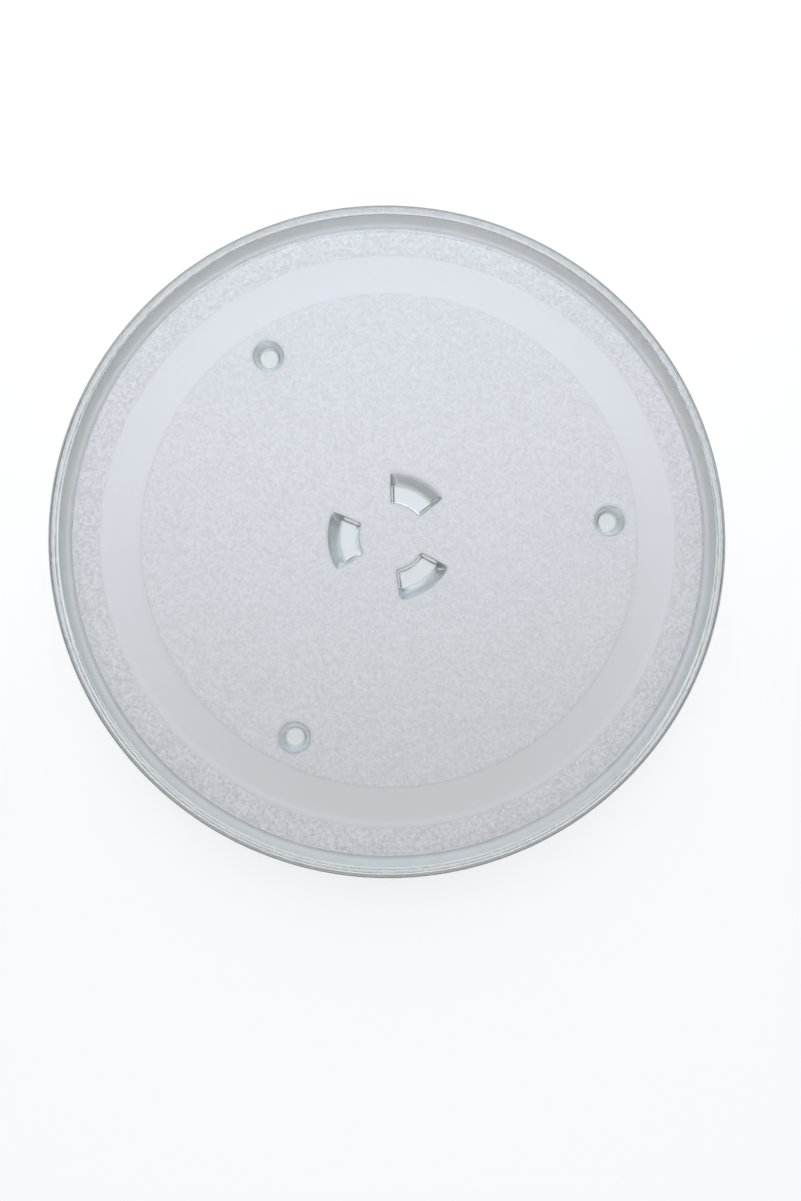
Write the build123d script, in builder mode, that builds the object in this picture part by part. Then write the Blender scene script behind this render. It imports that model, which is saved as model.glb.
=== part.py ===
from build123d import *
from math import radians, tan
import os

# Turntable plate of a microwave oven, pressed from glass in one piece. It lies dish side up on
# its three feet: Z is the axis it turns about, and Z = 0 is the plane that the feet stand on.
# One foot is on +X. Lengths are in millimetres and angles in degrees.

# Dish and rim
plate_diameter = 288.0
base_thickness = 5.0
rim_height = 7.3  # from the dish's top face to the top of the rim
rim_width = 4.8
inner_wall_lean = 21.0  # from upright, outwards
outer_wall_lean = 4.0
rim_bevel_width = 1.6  # of the bevel round the outer edge of the rim
rim_bevel_height = 1.2
rim_edge_radius = 0.4  # along the inner edge of the rim
well_radius = 1.2  # from the inner wall into the top face
heel_radius = 0.5  # from the underside into the outer wall

# Roller track: a smooth ring that stands proud of the stippled underside
track_width = 15.6
track_rise = 0.25
track_bevel = 0.8  # width of the slope at each edge of the track
outer_band_width = 16.96  # stippled underside between the track and the heel

# Feet
foot_count = 3
foot_height = 7.0
foot_root_diameter = 13.4
foot_face_diameter = 8.6
foot_edge_bevel = 0.6
foot_track_gap = 4.95  # keeps the feet inside the roller ring

# Drive lugs, between the feet, that the wings of the drive coupling push against
lug_count = foot_count
lug_floor_clearance = 0.5  # the lugs stop short of the surface that the feet stand on
lug_inner_radius = 14.65
lug_length = 13.85  # along a radius
lug_span = 53.6  # end to end, about the axis
lug_outer_lean = 40.0
lug_inner_lean = 11.0
lug_end_lean = 11.0
lug_edge_radius = 0.8

# Heights
underside_z = foot_height
track_z = underside_z - track_rise
top_z = underside_z + base_thickness
rim_z = top_z + rim_height
lug_face_z = lug_floor_clearance
lug_height = underside_z - lug_face_z

# Radii at the corners of the rim, each the sharp one before it is rounded
plate_radius = plate_diameter / 2
wall_top_z = rim_z - rim_bevel_height
rim_inner_radius = plate_radius - rim_width
well_corner_radius = rim_inner_radius - rim_height * tan(radians(inner_wall_lean))
heel_corner_radius = plate_radius - (wall_top_z - underside_z) * tan(radians(outer_wall_lean))

# Radii on the underside, from the heel inwards
heel_start = heel_corner_radius - heel_radius * tan(radians((90 - outer_wall_lean) / 2))
track_outer_radius = heel_start - outer_band_width - track_bevel
track_inner_radius = track_outer_radius - track_width
foot_circle_radius = track_inner_radius - track_bevel - foot_track_gap - foot_root_diameter / 2

# Radii of a lug at its root and at its lower face
lug_outer_radius = lug_inner_radius + lug_length
lug_face_inner_radius = lug_inner_radius + lug_height * tan(radians(lug_inner_lean))
lug_face_outer_radius = lug_outer_radius - lug_height * tan(radians(lug_outer_lean))

# One lug, centred on +X: an arc of a ring whose walls all lean, as a press mould needs
with BuildPart() as lug:
    with BuildSketch(Plane.XZ.rotated((0, 0, -lug_span / 2))):
        with BuildLine():
            Polyline(
                (lug_inner_radius, underside_z),
                (lug_outer_radius, underside_z),
                (lug_face_outer_radius, lug_face_z),
                (lug_face_inner_radius, lug_face_z),
                close=True,
            )
        make_face()
    revolve(axis=Axis.Z, revolution_arc=lug_span)
    lug_ends = lug.faces().filter_by(GeomType.PLANE) - lug.faces().filter_by(Axis.Z)
    draft(lug_ends, Plane((0, 0, underside_z), z_dir=(0, 0, -1)), lug_end_lean)
    lug_root_edges = lug.edges().group_by(Axis.Z)[-1]
    fillet(lug.edges() - lug_root_edges, lug_edge_radius)

# One foot, standing at the origin: a stub of a cone with a flat face
with BuildPart() as foot:
    Cone(
        foot_face_diameter / 2,
        foot_root_diameter / 2,
        foot_height,
        align=(Align.CENTER, Align.CENTER, Align.MIN),
    )
    chamfer(foot.edges().group_by(Axis.Z)[0], foot_edge_bevel)

# The whole plate: half its section, drawn from the axis along the underside and back over the
# rim, is turned about the axis, and the feet and lugs are set on its underside
with BuildPart() as turntable_plate:
    with BuildSketch(Plane.XZ):
        with BuildLine():
            FilletPolyline(
                (0, underside_z),
                (track_inner_radius - track_bevel, underside_z),
                (track_inner_radius, track_z),
                (track_outer_radius, track_z),
                (track_outer_radius + track_bevel, underside_z),
                (heel_corner_radius, underside_z),
                (plate_radius, wall_top_z),
                (plate_radius - rim_bevel_width, rim_z),
                (rim_inner_radius, rim_z),
                (well_corner_radius, top_z),
                (0, top_z),
                radius=[0, 0, 0, 0, heel_radius, 0, 0, rim_edge_radius, well_radius],
            )
            Line((0, top_z), (0, underside_z))
        make_face()
    revolve(axis=Axis.Z)
    with PolarLocations(foot_circle_radius, foot_count):
        add(foot.part)
    with PolarLocations(0, lug_count, start_angle=180 / lug_count):
        add(lug.part)

turntable_plate.part.label = "turntable_plate"

os.makedirs("parts", exist_ok=True)
export_step(turntable_plate.part, "parts/turntable_plate.step")
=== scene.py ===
from math import ceil, cos, pi, radians, sin, tan
from types import SimpleNamespace

import bmesh
import bpy
import numpy as np
from bpy.props import FloatProperty, FloatVectorProperty, PointerProperty
from mathutils import Euler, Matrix, Vector, geometry, noise


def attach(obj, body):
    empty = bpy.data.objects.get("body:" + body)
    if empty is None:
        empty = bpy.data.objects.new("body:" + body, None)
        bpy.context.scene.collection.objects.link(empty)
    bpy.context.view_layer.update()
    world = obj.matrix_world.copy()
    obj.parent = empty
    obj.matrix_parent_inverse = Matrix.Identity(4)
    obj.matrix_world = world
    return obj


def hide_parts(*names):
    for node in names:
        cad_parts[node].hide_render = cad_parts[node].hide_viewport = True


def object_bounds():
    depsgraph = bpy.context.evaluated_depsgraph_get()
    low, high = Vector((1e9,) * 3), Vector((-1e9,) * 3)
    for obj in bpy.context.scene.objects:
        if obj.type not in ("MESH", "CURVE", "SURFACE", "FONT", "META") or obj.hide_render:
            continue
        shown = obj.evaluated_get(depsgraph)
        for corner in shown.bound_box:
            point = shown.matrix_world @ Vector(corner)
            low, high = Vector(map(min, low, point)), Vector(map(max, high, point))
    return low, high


bl_info = {
    "name": "Microwave turntable plate",
    "version": (1, 0, 0),
    "blender": (4, 5, 0),
    "location": "3D View > Sidebar > Turntable plate",
    "description": "Builds a pressed-glass turntable plate and the stage it is photographed on",
    "category": "Add Mesh",
}

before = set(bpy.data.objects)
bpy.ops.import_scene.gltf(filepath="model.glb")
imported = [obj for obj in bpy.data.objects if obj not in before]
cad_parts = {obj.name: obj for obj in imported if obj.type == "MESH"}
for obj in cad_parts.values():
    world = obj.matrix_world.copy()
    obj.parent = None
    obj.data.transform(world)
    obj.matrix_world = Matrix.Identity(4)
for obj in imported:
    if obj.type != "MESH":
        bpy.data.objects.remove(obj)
cad_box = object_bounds()

MM = 0.001
PLATE_NODE = "turntable_plate"


def linear(hex_colour):
    """An sRGB hex colour as linear red, green and blue."""
    parts = [int(hex_colour[i : i + 2], 16) / 255 for i in (1, 3, 5)]
    return [c / 12.92 if c <= 0.04045 else ((c + 0.055) / 1.055) ** 2.4 for c in parts]


def length(name, description, millimetres):
    """A size that the user can change."""
    return FloatProperty(name=name, description=description, default=millimetres * MM, min=0.0,
                         unit="LENGTH", precision=5)


def lean(name, description, degrees):
    """An angle that the user can change."""
    return FloatProperty(name=name, description=description, default=radians(degrees),
                         subtype="ANGLE")


def portion(name, description, value):
    """A share from 0 to 1 that the user can change."""
    return FloatProperty(name=name, description=description, default=value, min=0.0, max=1.0,
                         subtype="FACTOR")


def colour(name, description, hex_colour):
    """A colour that the user can change."""
    return FloatVectorProperty(name=name, description=description, default=linear(hex_colour),
                               subtype="COLOR", size=3, min=0.0, max=1.0)


class PlateSizes(bpy.types.PropertyGroup):
    """Sizes of the pressing. Most are the solid's own. The track's rise and the rounded edges are those
    that suit the lines seen in the glass."""

    plate_diameter: length("Plate diameter", "Over the rim", -2 * cad_box[0].x / MM)
    base_thickness: length("Base thickness", "Glass between the dish and the underside", 5.0)
    rim_height: length("Rim height", "From the dish's top face to the top of the rim", 7.3)
    rim_width: length("Rim width", "Across the top of the rim", 4.8)
    inner_wall_lean: lean("Inner wall lean", "Of the rim's inner wall, from upright", 21.0)
    outer_wall_lean: lean("Outer wall lean", "Of the rim's outer wall, from upright", 4.0)
    rim_bevel_width: length("Rim bevel width", "Of the bevel on the rim's outer edge", 1.6)
    rim_bevel_height: length("Rim bevel height", "Of the bevel on the rim's outer edge", 1.2)
    rim_edge_radius: length("Rim edge radius", "Along every edge of the rim", 0.4)
    well_radius: length("Well radius", "From the inner wall into the top face", 0.5)
    heel_radius: length("Heel radius", "From the underside into the outer wall", 0.5)
    outer_band_width: length("Outer band width", "Stippled ring between the track and the heel", 16.96)
    track_width: length("Track width", "Of the smooth ring that the rollers run on", 15.6)
    track_rise: length("Track rise", "How far the track stands proud", 0.2)
    track_bevel: length("Track bevel", "Width of the slope at each edge of the track", 0.8)
    track_edge: length("Track edge", "Width over which the slope is eased into the track", 3.0)
    foot_height: length("Foot height", "From the underside down", 7.0)
    foot_root_diameter: length("Foot root diameter", "At the underside", 13.4)
    foot_face_diameter: length("Foot face diameter", "Before the edge is rounded", 8.6)
    foot_edge_rounding: length("Foot edge rounding", "Radius round the foot's face", 0.9)
    foot_track_gap: length("Foot to track gap", "Keeps the feet inside the roller ring", 4.95)
    lug_floor_clearance: length("Lug floor clearance", "From the lugs' faces to the floor", 0.5)
    lug_inner_radius: length("Lug inner radius", "From the axis to the lugs", 14.65)
    lug_length: length("Lug length", "Along a radius", 13.85)
    lug_span: lean("Lug span", "End to end, about the axis", 53.6)
    lug_outer_lean: lean("Lug outer lean", "Of the lugs' outer walls, from upright", 40.0)
    lug_inner_lean: lean("Lug inner lean", "Of the lugs' inner walls, from upright", 11.0)
    lug_end_lean: lean("Lug end lean", "Of the lugs' ends, from upright", 11.0)
    lug_edge_rounding: length("Lug edge rounding", "Radius round the lugs' faces and corners", 0.6)
    root_rounding: length("Root rounding", "Where feet and lugs grow out of the underside", 0.6)
    stipple_margin: length("Stipple margin", "Smooth ring between the stippled band and the heel", 0.5)
    stipple_spacing: length("Stipple spacing", "From pebble to pebble in the mould's texture", 2.6)
    stipple_depth: length("Stipple depth", "How far the pebbles stand in and out", 0.2)
    stipple_mesh: length("Stipple mesh", "Spacing of the points that carry the stipple", 1.05)


class GlassFinish(bpy.types.PropertyGroup):
    """Colours and optics of the glass."""

    # painted shade: the surface tint is greyed to stand in for the shade of the floor seen under the
    # plate
    tint_with_painted_shade: colour("Surface tint", "Colour of light that crosses the surface", "#DDDCE1")
    depth_tint: colour("Depth tint", "Colour of light that runs far inside the glass", "#DAF9DC")
    depth_density: FloatProperty(name="Depth density", description="Absorption per metre", default=12.0)
    refraction: FloatProperty(name="Refractive index", description="Of soda-lime glass", default=1.52)
    roughness: portion("Roughness", "Of the fire-polished skin", 0.02)
    stipple_roughness: portion("Stipple roughness", "Of the skin left by the textured mould", 0.6)
    # painted shade in the stipple's hollows, painted light on its tops
    stipple_shade: portion("Stipple shade", "How much darker the stipple's hollows are", 0.32)


class StageSettings(bpy.types.PropertyGroup):
    """Floor, light and camera."""

    floor_colour: colour("Floor colour", "Plain pale floor", "#F9F5F1")
    floor_glow: portion("Floor glow", "Share of plain white in what is seen of the floor", 0.75)
    window_colour: colour("Window colour", "Soft light from behind the plate", "#E6F3FF")
    window_strength: FloatProperty(name="Window strength", description="Brightness of the window",
                                   default=3.4)
    room_colour: colour("Room colour", "Dim light from the front", "#6C6B6A")
    camera_place: FloatVectorProperty(
        name="Camera place", description="Where the camera hangs", unit="LENGTH", subtype="TRANSLATION",
        default=(-0.01203, -0.04577, 0.33047),
    )
    camera_turn: FloatVectorProperty(
        name="Camera turn", description="How the camera is turned", subtype="EULER",
        default=[radians(a) for a in (3.2626, -2.1664, -4.3943)],
    )
    camera_lens: FloatProperty(name="Camera lens", description="Focal length", default=22.18,
                               unit="CAMERA")


class Pressing:
    """Collects the rings and patches of the plate, to be joined into one closed mesh."""

    def __init__(self):
        self.points, self.skins, self.faces, self.count = [], [], [], 0

    def add(self, points, skin):
        """Points with one finish, a row of SKINS or a blend of two."""
        points = np.asarray(points, float)
        self.points.append(points)
        self.skins.append(np.broadcast_to(skin, (len(points), 3)))
        self.count += len(points)
        return np.arange(self.count - len(points), self.count)

    def strip(self, near, far):
        """Squares between two rings of the same count."""
        self.faces += np.stack((near, np.roll(near, -1), np.roll(far, -1), far), axis=1).tolist()

    def halved_strip(self, fine, coarse):
        """Triangles between a ring and one of half its count."""
        first, second, third = fine[0::2], fine[1::2], np.roll(fine, -2)[0::2]
        after = np.roll(coarse, -1)
        for corners in ((first, second, coarse), (second, after, coarse), (second, third, after)):
            self.faces += np.stack(corners, axis=1).tolist()

    def staggered_strip(self, near, far, far_is_ahead):
        """Triangles between two rings, one of which is turned on by half a step."""
        if not far_is_ahead:
            near, far = far, near
        near_next, far_next = np.roll(near, -1), np.roll(far, -1)
        for corners in ((near, near_next, far), (near_next, far_next, far)):
            self.faces += np.stack(corners, axis=1).tolist()

    def cap(self, ring, centre, skin):
        """A fan that closes a ring."""
        middle = np.full(len(ring), self.add([centre], skin)[0])
        self.faces += np.stack((ring, np.roll(ring, -1), middle), axis=1).tolist()

    def mesh(self, name):
        """The closed mesh, with its finish kept at its points."""
        mesh = bpy.data.meshes.new(name)
        mesh.from_pydata(np.concatenate(self.points).tolist(), [], self.faces)
        # the last layer carries painted light and shade, lighter or darker than plain skin
        for finish, values in zip(("stipple", "satin", "painted_light_and_shade"), np.concatenate(self.skins).T):
            layer = mesh.attributes.new(finish, "FLOAT", "POINT")
            layer.data.foreach_set("value", values.astype(np.float32))
        work = bmesh.new()
        work.from_mesh(mesh)
        bmesh.ops.recalc_face_normals(work, faces=work.faces)
        if any(not edge.is_manifold for edge in work.edges):
            raise RuntimeError("the pressing isn't closed")
        work.to_mesh(mesh)
        work.free()
        mesh.shade_smooth()
        return mesh


def circle(radius, height, count, turn=0.0):
    """A level ring of points about the plate's axis."""
    angles = (np.arange(count) + turn) * 2 * pi / count
    return np.stack((radius * np.cos(angles), radius * np.sin(angles), np.full(count, height)), axis=1)


def rounded(before, corner, after, radius, steps):
    """Points of the arc that rounds a corner of the section."""
    before, corner, after = (np.asarray(p, float) for p in (before, corner, after))
    back = (before - corner) / np.linalg.norm(before - corner)
    on = (after - corner) / np.linalg.norm(after - corner)
    half = np.arccos(np.clip(back @ on, -1, 1)) / 2
    middle = corner + (back + on) / np.linalg.norm(back + on) * radius / sin(half)
    start = corner + back * radius / tan(half) - middle
    end = corner + on * radius / tan(half) - middle
    sweep = pi - 2 * half
    turns = np.linspace(0, 1, steps + 1)[:, None]
    return middle + (np.sin((1 - turns) * sweep) * start + np.sin(turns * sweep) * end) / sin(sweep)


def layout(sizes):
    """Heights and corners of the section, worked out from the sizes as for the solid."""
    lay = SimpleNamespace()
    lay.underside = sizes.foot_height
    lay.top = lay.underside + sizes.base_thickness
    lay.rim = lay.top + sizes.rim_height
    radius = sizes.plate_diameter / 2
    lay.wall_top = np.array((radius, lay.rim - sizes.rim_bevel_height))
    lay.rim_flat = np.array((radius - sizes.rim_bevel_width, lay.rim))
    lay.rim_inner = np.array((radius - sizes.rim_width, lay.rim))
    lay.well = lay.rim_inner - sizes.rim_height * np.array((tan(sizes.inner_wall_lean), 1))
    drop = lay.wall_top[1] - lay.underside
    lay.heel = lay.wall_top - drop * np.array((tan(sizes.outer_wall_lean), 1))
    lay.heel_start = lay.heel[0] - sizes.heel_radius * tan((pi / 2 - sizes.outer_wall_lean) / 2)
    lay.track_outer = lay.heel_start - sizes.outer_band_width - sizes.track_bevel
    lay.track_inner = lay.track_outer - sizes.track_width
    lay.field = lay.track_inner - sizes.track_bevel
    lay.foot_circle = lay.field - sizes.foot_track_gap - sizes.foot_root_diameter / 2
    lay.lug_depth = lay.underside - sizes.lug_floor_clearance
    return lay


# Points and rings of the mesh
SEED = 288
RING = 440  # points round the smooth parts of the plate, twice as many round the stippled band
LIP_RINGS = (0.06, 0.94)  # shares of the way across the lip
INNER_WALL_RINGS = (0.06, 0.6, 0.95)  # shares of the way down, the last one at the wall's foot
OUTER_WALL_RINGS = (0.05, 0.5, 0.95)  # shares of the way up
DISH_RINGS = (0.7, 0.4, 0.2)  # shares of the radius of the flat dish
DISH_BORDER = 3.0 * MM  # from the well to the last ring that has all its points
CREASE = 0.3 * MM  # how near an edge a ring lies that stops the shading there
TRACK_GAP = 0.4 * MM  # between the band's first ring and the track's
TRACK_EDGE_RINGS = 9
RIM_STEPS, WELL_STEPS, HEEL_STEPS = (5, 5, 6), 8, 12  # flats of each rounded corner, the rim's inwards
LUG_POINTS, FOOT_POINTS = 112, 72  # round one lug and one foot
LUG_RAYS, LUG_HALVINGS = 2000, 40  # rays that find a lug's outline, and how often each is halved
LUG_BLEND = 1.6  # in roundings, how near two walls of a lug start to run into each other in plan
BEND_PULL, BEND_LIMIT = 3, 0.5  # where a lug bends, a radian counts as 3 mm of outline
ROUNDING_RINGS = 5  # over each rounding of a foot or lug
WALL_RINGS = (0.35, 0.65)  # shares of the depth of a foot or lug
FACE_INSET = 0.25 * MM  # from the rounding of a foot or lug to the flat of its face

# Stipple
ROW_STEP = 0.866  # from row to row of a triangular grid, for a step of 1 along the row
BAND_SCATTER, FIELD_SCATTER = 0.2, 0.28  # how far grid points stray, in steps
BAND_FADE = (0.4, 0.9)  # shares of the band's width between which its finish changes
PEBBLE_GAIN = 2.2  # brings the noise to about -1 to 1
FINE_SPACING = 1.3 * MM  # finer pebbles between those of the mesh
FINE_DEPTH = 0.12 * MM
NOISE_LOW, NOISE_HIGH = 0.25, 0.75  # nearly all of the shader's noise lies between these

# Finish of each region: how much of the stipple it carries, how satin its skin is from polished to the
# roughness of the stippled band, and how much painted light (above 0) or painted shade (below 0) its
# colour carries, lighter or darker than plain skin
SKINS = {
    "bevel": (0.0, 0.0, -0.6),  # painted shade: the dark line round the plate
    # painted light on the lip, the inner edge and the inner wall
    "lip": (0.0, 0.0, 0.3),
    "inner edge": (0.0, 0.6, 0.3),
    "inner wall": (0.0, 1.0, 0.2),
    "wall foot": (0.0, 1.0, -0.4),  # painted shade: the dark line inside the rim
    "dish": (0.0, 0.0, 0.0),
    # painted light on the outer wall, the heel and the band's edge
    "outer wall": (0.0, 0.0, 0.35),
    "heel": (0.0, 1.0, 0.35),
    "band edge": (0.0, 0.5, 0.3),
    # painted shade on the outer band, painted light on the inner band
    "outer band": (0.9, 1.0, -0.12),
    "inner band": (0.9, 1.0, 0.1),
    "track": (0.0, 0.0, -0.03),
    "track edge": (0.2, 0.2, -0.12),  # painted shade: a faint dark line where the stippled band ends
    "field edge": (0.2, 0.2, -0.17),  # a thin shadow where the track drops to the stippled field
    "field": (0.56, 0.47, 0.0),
    # painted shade on the walls of lugs and feet, painted light on their faces
    "lug wall": (0.0, 0.35, -0.12),
    "lug face": (0.0, 0.0, 0.15),
    "foot wall": (0.0, 0.3, -0.2),
    "foot face": (0.0, 1.0, 0.38),
}
SKINS = {name: np.array(skin) for name, skin in SKINS.items()}
LUG_ANGLES = [radians(a) for a in (60, 180, 300)]
FOOT_ANGLES = [radians(a) for a in (0, 120, 240)]


def press_top(pressing, sizes, lay):
    """Rim and dish, from the top of the outer wall to the middle. Returns the first ring."""
    edge = sizes.rim_edge_radius
    corners = (lay.heel, lay.wall_top, lay.rim_flat, lay.rim_inner, lay.well)
    *outer_edges, inner_edge = (
        rounded(*around, edge, steps)
        for *around, steps in zip(corners, corners[1:], corners[2:], RIM_STEPS)
    )
    rim_curve = np.concatenate(outer_edges)
    well = rounded(lay.rim_inner, lay.well, (0, lay.top), sizes.well_radius, WELL_STEPS)
    wall = inner_edge[-1] + (well[0] - inner_edge[-1]) * np.array(INNER_WALL_RINGS)[:, None]
    flat = [(well[-1][0] - inset, lay.top) for inset in (CREASE, DISH_BORDER)]
    lip = rim_curve[-1] + (inner_edge[0] - rim_curve[-1]) * np.array(LIP_RINGS)[:, None]
    parts = ((rim_curve, "bevel"), (lip, "lip"), (inner_edge, "inner edge"),
             (wall[:2], "inner wall"), (wall[2:], "wall foot"), (well, "dish"), (flat, "dish"))
    section = np.concatenate([part for part, _ in parts])
    rings = [pressing.add(circle(r, z, RING), SKINS[skin]) for part, skin in parts for r, z in part]
    for near, far in zip(rings, rings[1:]):
        pressing.strip(near, far)
    dish = rings[-1]
    for share in DISH_RINGS:
        radius = section[-1][0] * share
        inner = pressing.add(circle(radius, lay.top, len(dish) // 2), SKINS["dish"])
        pressing.halved_strip(dish, inner)
        dish = inner
    pressing.cap(dish, (0, 0, lay.top), SKINS["dish"])
    return rings[0]


def pebbles(sizes, points):
    """How far each point of a stippled surface stands out, from about -1 to 1."""
    return np.array([noise.noise(Vector(p) / sizes.stipple_spacing) for p in points]) * PEBBLE_GAIN


def press_band(pressing, sizes, lay, rng):
    """Stippled ring of the underside outside the track. Returns its inner and outer edge rings."""
    start, end = lay.track_outer + sizes.track_bevel, lay.heel_start - sizes.stipple_margin
    rows = 2 * ceil((end - start) / sizes.stipple_mesh / ROW_STEP / 2) + 1
    radii = np.linspace(start, end, rows)
    rings = []
    for number, radius in enumerate(radii):
        ring = circle(radius, lay.underside, 2 * RING, 0.5 * (number % 2))
        if number in (0, rows - 1):
            rings.append(pressing.add(ring, SKINS["band edge" if number else "track edge"]))
            continue
        ring[:, :2] += rng.uniform(-BAND_SCATTER, BAND_SCATTER, (2 * RING, 2)) * sizes.stipple_mesh
        ring[:, 2] -= pebbles(sizes, ring) * sizes.stipple_depth / 2
        outwards = np.interp(number / rows, BAND_FADE, (0, 1))
        skin = SKINS["inner band"] * (1 - outwards) + SKINS["outer band"] * outwards
        rings.append(pressing.add(ring, skin))
    for number, (near, far) in enumerate(zip(rings, rings[1:])):
        pressing.staggered_strip(near, far, number % 2 == 0)
    return rings[0], rings[-1]


def press_wall(pressing, sizes, lay):
    """Smooth edge of the underside, heel and outer wall. Returns its two end rings."""
    start = np.array((lay.heel_start - sizes.stipple_margin + CREASE, lay.underside))
    heel = rounded(start, lay.heel, lay.wall_top, sizes.heel_radius, HEEL_STEPS)
    wall = heel[-1] + (lay.wall_top - heel[-1]) * np.array(OUTER_WALL_RINGS)[:, None]
    parts = (([start], "band edge"), ([heel[0] - (CREASE, 0)], "heel"), (heel, "heel"),
             (wall, "outer wall"))
    rings = [pressing.add(circle(r, z, RING), SKINS[skin]) for part, skin in parts for r, z in part]
    for near, far in zip(rings, rings[1:]):
        pressing.strip(near, far)
    return rings[0], rings[-1]


def press_track(pressing, sizes, lay):
    """Smooth roller track. Returns its outer and inner edge rings."""
    ease = np.linspace(0, 1, TRACK_EDGE_RINGS)
    fall = lay.underside - sizes.track_rise * ease**2 * (3 - 2 * ease)
    outer_radius = lay.track_outer + sizes.track_bevel - TRACK_GAP
    outer = np.column_stack((outer_radius - ease * sizes.track_edge, fall))
    inner = np.column_stack((lay.field + ease * sizes.track_edge, fall))[::-1]
    section = np.concatenate((outer, inner))
    rings = [pressing.add(circle(r, z, RING), SKINS["track"]) for r, z in section[:-2]]
    rings += [pressing.add(circle(r, z, RING), SKINS["field edge"]) for r, z in section[-2:]]
    for near, far in zip(rings, rings[1:]):
        pressing.strip(near, far)
    return rings[0], rings[-1]


def soft_least(values, width):
    """The least of several distances, rounded where two come within width of each other."""
    least = values[0]
    for value in values[1:]:
        shared = np.maximum(width - np.abs(least - value), 0)
        least = np.minimum(least, value) - shared**2 / (4 * width)
    return least


def lug_inset(sizes, x, y, depth, swell):
    """How far inside the outline of a lug on +X a point lies, at a depth below the lug's root."""
    radius, angle = np.hypot(x, y), np.arctan2(y, x)
    outer = sizes.lug_inner_radius + sizes.lug_length - depth * tan(sizes.lug_outer_lean)
    inner = sizes.lug_inner_radius + depth * tan(sizes.lug_inner_lean)
    end = depth * tan(sizes.lug_end_lean)
    from_ends = [np.clip(sizes.lug_span / 2 + side * angle, -pi / 2, pi / 2) for side in (1, -1)]
    walls = [outer - radius, radius - inner, *(radius * np.sin(turn) - end for turn in from_ends)]
    return soft_least(walls, LUG_BLEND * sizes.lug_edge_rounding) + swell


def level_steps(full_depth, root, edge):
    """Depths and swellings of the outline of a lug or foot, from its flared root to its face."""
    turns = np.linspace(0, pi / 2, ROUNDING_RINGS)
    steps = [(root * (1 - cos(t)), root * (1 - sin(t))) for t in turns]
    steps += [(share * full_depth, 0.0) for share in WALL_RINGS]
    steps += [(full_depth - edge + edge * sin(t), -edge * (1 - cos(t))) for t in turns]
    steps += [(full_depth, -edge - FACE_INSET)]
    return steps


def press_lug(pressing, sizes, lay, turn):
    """One drive lug. Returns its root ring."""
    middle = sizes.lug_inner_radius + 0.5 * sizes.lug_length
    beyond = 1.4 * sizes.lug_length  # outside the lug on every side
    steps = level_steps(lay.lug_depth, sizes.root_rounding, sizes.lug_edge_rounding)

    def outline(angles, depth, swell):
        """Where rays from the middle of the lug leave it, found by halving."""
        across, along = np.cos(angles), np.sin(angles)
        low, high = np.zeros(len(angles)), np.full(len(angles), beyond)
        for _ in range(LUG_HALVINGS):
            mid = (low + high) / 2
            within = lug_inset(sizes, middle + mid * across, mid * along, depth, swell) > 0
            low, high = np.where(within, mid, low), np.where(within, high, mid)
        return np.stack((middle + low * across, low * along), axis=1)

    # points are spread by length along the outline, and closer where it bends
    fine = np.linspace(0, 2 * pi, LUG_RAYS, endpoint=False)
    edge = outline(fine, *steps[-2])
    run = np.roll(edge, -1, 0) - edge
    bend = np.abs(np.angle(np.exp(1j * np.diff(np.arctan2(run[:, 1], run[:, 0]), append=0))))
    pull = BEND_PULL * np.minimum(bend, BEND_LIMIT)
    effort = np.cumsum(np.linalg.norm(run, axis=1) / MM + pull)
    angles = np.interp(np.arange(LUG_POINTS) / LUG_POINTS * effort[-1], effort, fine)
    rings = []
    spin = np.array(((cos(turn), sin(turn)), (-sin(turn), cos(turn))))
    for depth, swell in steps:
        flat = outline(angles, depth, swell) @ spin
        skin = SKINS["lug wall" if depth < lay.lug_depth else "lug face"]
        height = np.full(LUG_POINTS, lay.underside - depth)
        rings.append(pressing.add(np.column_stack((flat, height)), skin))
    for near, far in zip(rings, rings[1:]):
        pressing.strip(near, far)
    centre = (middle * cos(turn), middle * sin(turn), lay.underside - lay.lug_depth)
    pressing.cap(rings[-1], centre, SKINS["lug face"])
    return rings[0]


def press_foot(pressing, sizes, lay, turn):
    """One foot. Returns its root ring."""
    root, face = sizes.foot_root_diameter / 2, sizes.foot_face_diameter / 2
    centre = np.array((lay.foot_circle * cos(turn), lay.foot_circle * sin(turn), 0))
    rings = []
    steps = level_steps(sizes.foot_height, sizes.root_rounding, sizes.foot_edge_rounding)
    for depth, swell in steps:
        radius = root + (face - root) * depth / sizes.foot_height + swell
        skin = SKINS["foot wall" if depth < sizes.foot_height else "foot face"]
        ring = circle(radius, lay.underside - depth, FOOT_POINTS) + centre
        rings.append(pressing.add(ring, skin))
    for near, far in zip(rings, rings[1:]):
        pressing.strip(near, far)
    pressing.cap(rings[-1], centre, SKINS["foot face"])
    return rings[0]


def enclosed(points, outline):
    """Whether each point lies inside a closed outline."""
    within = np.zeros(len(points), bool)
    for (x, y), (next_x, next_y) in zip(outline, np.roll(outline, -1, axis=0)):
        if y != next_y:
            beside = (y > points[:, 1]) != (next_y > points[:, 1])
            crossing = x + (next_x - x) * (points[:, 1] - y) / (next_y - y)
            within ^= beside & (points[:, 0] < crossing)
    return within


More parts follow.
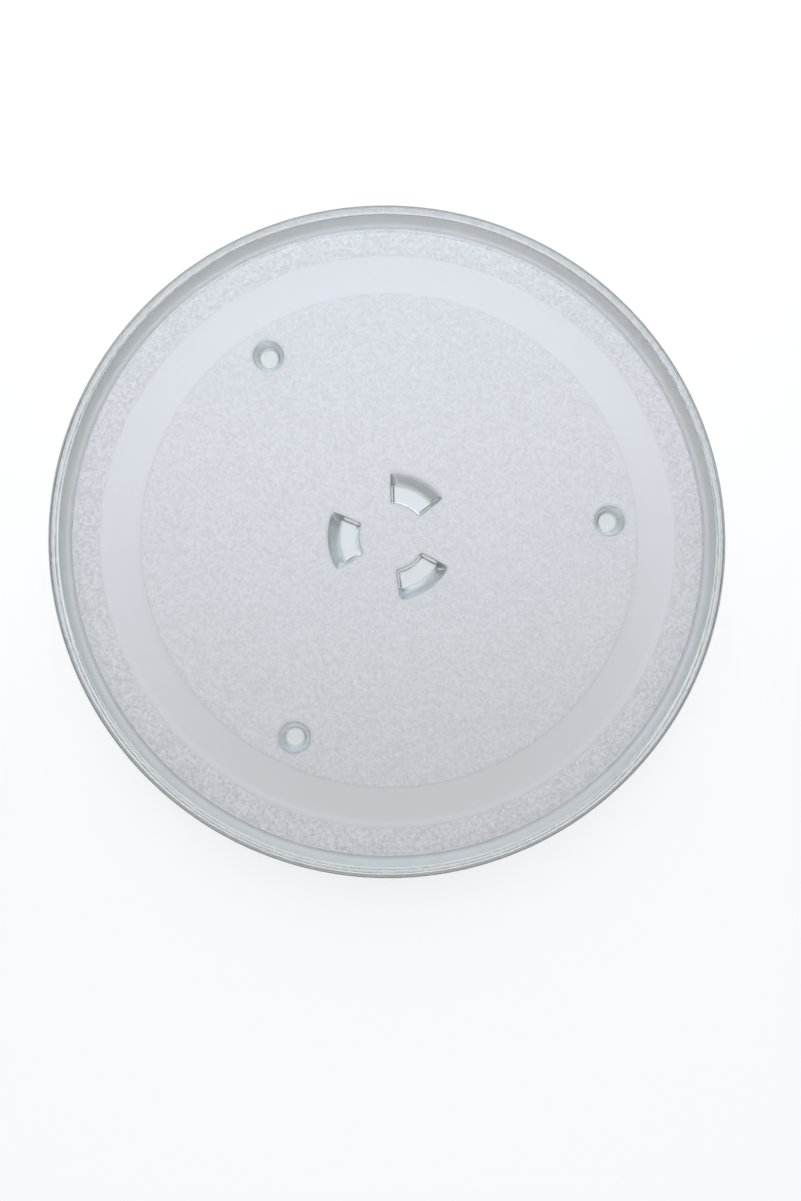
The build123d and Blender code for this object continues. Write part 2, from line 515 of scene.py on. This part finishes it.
def press_field(pressing, sizes, lay, rng, edge_ring, lug_rings, foot_rings):
    """Stippled underside inside the track, fitted round the lugs and feet."""
    grain = sizes.stipple_mesh
    reach = ceil(lay.field / grain / ROW_STEP) + 1
    steps = np.arange(-reach, reach + 1)
    row, place = np.meshgrid(steps, steps, indexing="ij")
    spots = np.stack((place + 0.5 * (row % 2), row * ROW_STEP), axis=-1).reshape(-1, 2) * grain
    spots += rng.uniform(-FIELD_SCATTER, FIELD_SCATTER, spots.shape) * grain

    def clear_of_pads(x, y, gap):
        """Whether points lie inside the track and outside the feet and lugs, by a gap."""
        free = np.hypot(x, y) < lay.field - gap
        for turn in FOOT_ANGLES:
            away = np.hypot(x - lay.foot_circle * cos(turn), y - lay.foot_circle * sin(turn))
            free &= away > sizes.foot_root_diameter / 2 + sizes.root_rounding + gap
        for turn in LUG_ANGLES:
            out, side = x * cos(turn) + y * sin(turn), y * cos(turn) - x * sin(turn)
            free &= (lug_inset(sizes, out, side, 0.0, sizes.root_rounding) < -gap) | (out < 0)
        return free

    spots = spots[clear_of_pads(*spots.T, 0.5 * grain)]
    known = np.concatenate(pressing.points)
    loops = [edge_ring, *lug_rings, *foot_rings]
    held = np.concatenate(loops)
    flat = np.concatenate((known[held, :2], spots)) / MM
    edges, first = [], 0
    for loop in loops:
        numbers = np.arange(first, first + len(loop))
        edges += np.stack((numbers, np.roll(numbers, -1)), axis=1).tolist()
        first += len(loop)
    # 0 asks for every triangle within the outermost points, 1e-6 mm is what counts as touching
    corners, _, patches, sources, _, _ = geometry.delaunay_2d_cdt(
        [Vector(p) for p in flat], edges, [], 0, 1e-6)
    if len(corners) != len(flat):
        raise RuntimeError("the stippled field doesn't meet its edges")
    triangles = np.array([source[0] for source in sources])[np.array(patches)]
    middles = flat[triangles].mean(axis=1) * MM
    for loop in (*lug_rings, *foot_rings):
        outside = ~enclosed(middles, known[loop, :2])
        triangles, middles = triangles[outside], middles[outside]

    ground = np.column_stack((spots, np.full(len(spots), lay.underside)))
    ground[:, 2] -= pebbles(sizes, ground) * sizes.stipple_depth / 2
    added = pressing.add(ground, SKINS["field"])
    pressing.faces += np.concatenate((held, added))[triangles].tolist()


def add_node(tree, kind, inputs=(), **settings):
    """A shader node with its settings, its values and its links."""
    node = tree.nodes.new(kind)
    for name, value in settings.items():
        setattr(node, name, value)
    for name, value in dict(inputs).items():
        if isinstance(value, bpy.types.NodeSocket):
            tree.links.new(value, node.inputs[name])
        else:
            node.inputs[name].default_value = value
    return node


def new_material(name):
    """An empty material and its node tree."""
    material = bpy.data.materials.new(name)
    material.use_nodes = True
    material.node_tree.nodes.clear()
    return material, material.node_tree


def pressed_glass(finish):
    """Soda-lime glass, pressed in a mould and fire-polished: clear, with a faint green in its depth,
    and pebbled where the mould was textured. Its colour carries painted light and shade, by region and
    over the pebbles."""
    material, tree = new_material("pressed_soda_lime_glass")
    place = add_node(tree, "ShaderNodeTexCoord")
    stipple, satin, painted_light_and_shade = (
        add_node(tree, "ShaderNodeAttribute", attribute_name=name).outputs["Fac"]
        for name in ("stipple", "satin", "painted_light_and_shade")
    )
    fine = add_node(tree, "ShaderNodeTexNoise", {
        "Vector": place.outputs["Object"],
        "Scale": 1 / FINE_SPACING,
        "Detail": 1.0,
    }).outputs["Fac"]

    # relief of the fine pebbles, level on the whole
    level = add_node(tree, "ShaderNodeMath", {0: fine, 1: 0.5}, operation="SUBTRACT")
    relief = add_node(tree, "ShaderNodeMath", {0: level.outputs["Value"], 1: stipple},
                      operation="MULTIPLY")
    bump = add_node(tree, "ShaderNodeBump", {
        "Height": relief.outputs["Value"],
        "Strength": 1.0,
        "Distance": FINE_DEPTH,
    })

    # from polished to satin
    skin = add_node(tree, "ShaderNodeMapRange", {
        "Value": satin,
        "To Min": finish.roughness,
        "To Max": finish.stipple_roughness,
    })

    # painted light and shade of the pebbles: the hollows are darker and the tops lighter in the glass's
    # colour, standing in for the relief's light and shade
    pebble = add_node(tree, "ShaderNodeMapRange", {
        "Value": fine,
        "From Min": NOISE_LOW,
        "From Max": NOISE_HIGH,
        "To Min": -finish.stipple_shade,
        "To Max": finish.stipple_shade,
    })
    painted_pebble_shade = add_node(tree, "ShaderNodeMath", {0: pebble.outputs["Result"], 1: stipple, 2: 1.0},
                      operation="MULTIPLY_ADD")
    # painted light and shade of each region and of the pebbles scale the glass's colour
    shade = add_node(tree, "ShaderNodeMath", {0: painted_light_and_shade, 1: painted_pebble_shade.outputs["Value"]}, operation="ADD")
    tint = add_node(tree, "ShaderNodeVectorMath", {
        0: finish.tint_with_painted_shade,
        "Scale": shade.outputs["Value"],
    }, operation="SCALE")
    glass = add_node(tree, "ShaderNodeBsdfPrincipled", {
        "Base Color": tint.outputs["Vector"],
        "Roughness": skin.outputs["Result"],
        "IOR": finish.refraction,
        "Transmission Weight": 1.0,
        "Normal": bump.outputs["Normal"],
    })
    depth = add_node(tree, "ShaderNodeVolumeAbsorption", {
        "Color": (*finish.depth_tint, 1),
        "Density": finish.depth_density,
    })
    add_node(tree, "ShaderNodeOutputMaterial", {
        "Surface": glass.outputs["BSDF"],
        "Volume": depth.outputs["Volume"],
    })
    return material


FLOOR_REACH = 3.0  # metres from the middle of the floor to its sides
FLOOR_GAP = 0.05 * MM  # keeps the floor clear of the feet
WINDOW_DIRECTION = Vector((0.03, 0.68, 0.73)).normalized()
WINDOW_EDGE = 0.5  # cosine of the angle from its middle at which the window has faded


def matt_white_board(settings):
    """Board with a white acrylic coat, rolled on: matt, with a faint sheen at low angles. It shows
    nearly white to the camera and in the glass, and keeps the plate's shadow."""
    material, tree = new_material("matt_white_board")
    paint = add_node(tree, "ShaderNodeBsdfPrincipled", {
        "Base Color": (*settings.floor_colour, 1),
        "Roughness": 0.9,
        "Specular IOR Level": 0.0,
    })
    white = add_node(tree, "ShaderNodeEmission", {"Color": (1, 1, 1, 1), "Strength": 1.0})
    path = add_node(tree, "ShaderNodeLightPath")
    seen = path.outputs["Is Camera Ray"]
    for kind in ("Is Glossy Ray", "Is Transmission Ray"):
        either = add_node(tree, "ShaderNodeMath", {0: seen, 1: path.outputs[kind]}, operation="MAXIMUM")
        seen = either.outputs["Value"]
    glow = add_node(tree, "ShaderNodeMath", {0: seen, 1: settings.floor_glow}, operation="MULTIPLY")
    look = add_node(tree, "ShaderNodeMixShader", {
        0: glow.outputs["Value"],
        1: paint.outputs["BSDF"],
        2: white.outputs["Emission"],
    })
    gloss = add_node(tree, "ShaderNodeBsdfGlossy", {"Roughness": 0.15})
    sheen = add_node(tree, "ShaderNodeFresnel", {"IOR": 1.49})
    board = add_node(tree, "ShaderNodeMixShader", {
        0: sheen.outputs["Fac"],
        1: look.outputs["Shader"],
        2: gloss.outputs["BSDF"],
    })
    add_node(tree, "ShaderNodeOutputMaterial", {"Surface": board.outputs["Shader"]})
    return material


def studio_light(settings):
    """A dim room with one broad soft window behind the plate."""
    world = bpy.data.worlds.new("studio")
    world.use_nodes = True
    tree = world.node_tree
    tree.nodes.clear()
    place = add_node(tree, "ShaderNodeTexCoord")
    facing = add_node(tree, "ShaderNodeVectorMath", {
        0: place.outputs["Generated"],
        1: WINDOW_DIRECTION,
    }, operation="DOT_PRODUCT")
    window = add_node(tree, "ShaderNodeMapRange", {
        "Value": facing.outputs["Value"],
        "From Min": WINDOW_EDGE,
        "From Max": 1.0,
    }, interpolation_type="SMOOTHSTEP")
    light = add_node(tree, "ShaderNodeMix", {
        "Factor": window.outputs["Result"],
        "A": (*settings.room_colour, 1),
        "B": (*[settings.window_strength * c for c in settings.window_colour], 1),
    }, data_type="RGBA")
    back = add_node(tree, "ShaderNodeBackground", {"Color": light.outputs["Result"], "Strength": 1.0})
    add_node(tree, "ShaderNodeOutputWorld", {"Surface": back.outputs["Background"]})
    return world


class TURNTABLE_OT_plate(bpy.types.Operator):
    """Press the turntable plate"""

    bl_idname = "turntable.plate"
    bl_label = "Turntable plate"

    def execute(self, context):
        sizes, glass = context.scene.turntable_sizes, context.scene.turntable_glass
        lay = layout(sizes)
        rng = np.random.default_rng(SEED)
        pressing = Pressing()
        rim_start = press_top(pressing, sizes, lay)
        wall_start, wall_end = press_wall(pressing, sizes, lay)
        band_start, band_end = press_band(pressing, sizes, lay, rng)
        track_start, track_end = press_track(pressing, sizes, lay)
        pressing.strip(wall_end, rim_start)
        pressing.halved_strip(band_end, wall_start)
        pressing.halved_strip(band_start, track_start)
        lug_rings = [press_lug(pressing, sizes, lay, turn) for turn in LUG_ANGLES]
        foot_rings = [press_foot(pressing, sizes, lay, turn) for turn in FOOT_ANGLES]
        press_field(pressing, sizes, lay, rng, track_end, lug_rings, foot_rings)
        plate = bpy.data.objects.new("pressed_plate", pressing.mesh("pressed_plate"))
        context.scene.collection.objects.link(plate)
        plate.data.materials.append(pressed_glass(glass))
        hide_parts(PLATE_NODE)
        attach(plate, "root")
        return {"FINISHED"}


class TURNTABLE_OT_stage(bpy.types.Operator):
    """Lay the floor, light the room and hang the camera"""

    bl_idname = "turntable.stage"
    bl_label = "Stage"

    def execute(self, context):
        settings = context.scene.turntable_stage
        scene = context.scene
        side = FLOOR_REACH
        corners = [(-side, -side, 0), (side, -side, 0), (side, side, 0), (-side, side, 0)]
        floor_mesh = bpy.data.meshes.new("floor")
        floor_mesh.from_pydata(corners, [], [(0, 1, 2, 3)])
        floor_mesh.materials.append(matt_white_board(settings))
        floor = bpy.data.objects.new("floor", floor_mesh)
        floor.location.z = cad_box[0].z - FLOOR_GAP
        scene.collection.objects.link(floor)
        scene.world = studio_light(settings)

        camera = bpy.data.objects.new("camera", bpy.data.cameras.new("camera"))
        camera.data.lens = settings.camera_lens
        camera.data.clip_start = 0.005
        camera.location = settings.camera_place
        camera.rotation_euler = Euler(settings.camera_turn)
        scene.collection.objects.link(camera)
        scene.camera = camera
        scene.view_settings.view_transform = "Standard"
        return {"FINISHED"}


class TURNTABLE_PT_panel(bpy.types.Panel):
    """Sizes, finish and stage of the turntable plate"""

    bl_idname = "TURNTABLE_PT_panel"
    bl_label = "Turntable plate"
    bl_space_type = "VIEW_3D"
    bl_region_type = "UI"
    bl_category = "Turntable plate"

    def draw(self, context):
        scene = context.scene
        groups = (
            (scene.turntable_sizes, None),
            (scene.turntable_glass, "turntable.plate"),
            (scene.turntable_stage, "turntable.stage"),
        )
        for group, operator in groups:
            for name in group.__annotations__:
                self.layout.prop(group, name)
            if operator:
                self.layout.operator(operator)


CLASSES = (PlateSizes, GlassFinish, StageSettings, TURNTABLE_OT_plate, TURNTABLE_OT_stage,
           TURNTABLE_PT_panel)


def register():
    for cls in CLASSES:
        bpy.utils.register_class(cls)
    bpy.types.Scene.turntable_sizes = PointerProperty(type=PlateSizes)
    bpy.types.Scene.turntable_glass = PointerProperty(type=GlassFinish)
    bpy.types.Scene.turntable_stage = PointerProperty(type=StageSettings)


def unregister():
    del bpy.types.Scene.turntable_stage
    del bpy.types.Scene.turntable_glass
    del bpy.types.Scene.turntable_sizes
    for cls in reversed(CLASSES):
        bpy.utils.unregister_class(cls)


def main():
    register()
    bpy.ops.turntable.plate()
    bpy.ops.turntable.stage()


if __name__ == "__main__":
    main()
